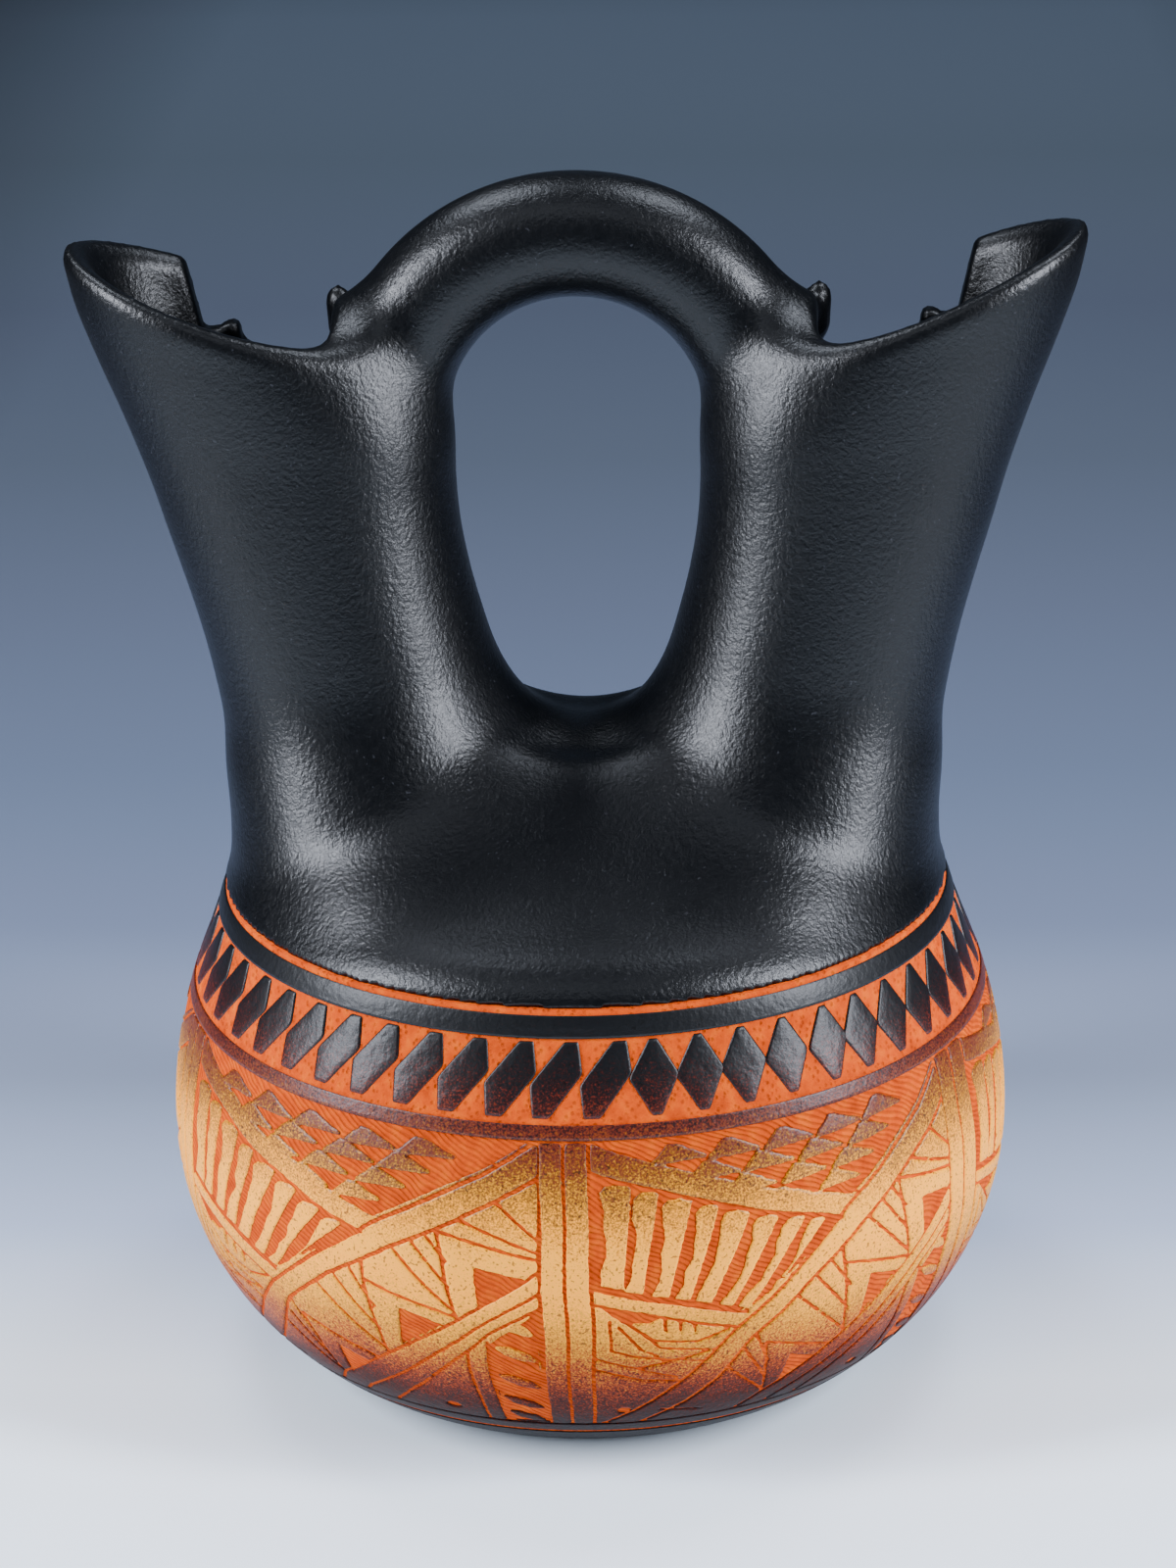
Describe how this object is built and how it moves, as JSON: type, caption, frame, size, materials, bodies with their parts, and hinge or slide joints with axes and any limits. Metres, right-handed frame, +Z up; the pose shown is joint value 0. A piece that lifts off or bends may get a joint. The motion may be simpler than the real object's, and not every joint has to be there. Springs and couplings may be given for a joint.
{
  "type": "double-spouted pottery vase",
  "caption": "Round-bodied ceramic vase with paired flaring spouts, a stirrup handle arched between them, stepped rims and an etched geometric slip pattern.",
  "frame": {"origin": "centre of the flat foot, on the surface that the vase stands on", "axes": "+Z up, +X along the row of the two spouts, towards the right-hand spout as the plain front faces the viewer, +Y from the front to the back, where the rims are notched"},
  "size_m": [0.2062, 0.1784, 0.255],
  "materials": {
    "black_slip": "satin black slip over red clay, burnished, fine orange-peel grain",
    "carved_slip": "gold to maroon sprayed slip, etched through to matt orange clay in geometric bands",
    "slate_slip": "satin slate-black slip"
  },
  "bodies": {
    "root": {"base_slab": "slate_slip", "lower_bowl": "carved_slip", "upper_bowl": "carved_slip", "shoulder_course": "black_slip", "saddle": "black_slip", "left_neck": "black_slip", "right_neck": "black_slip", "left_spout": "black_slip", "right_spout": "black_slip", "stirrup_handle": "black_slip"}
  },
  "joints": []
}
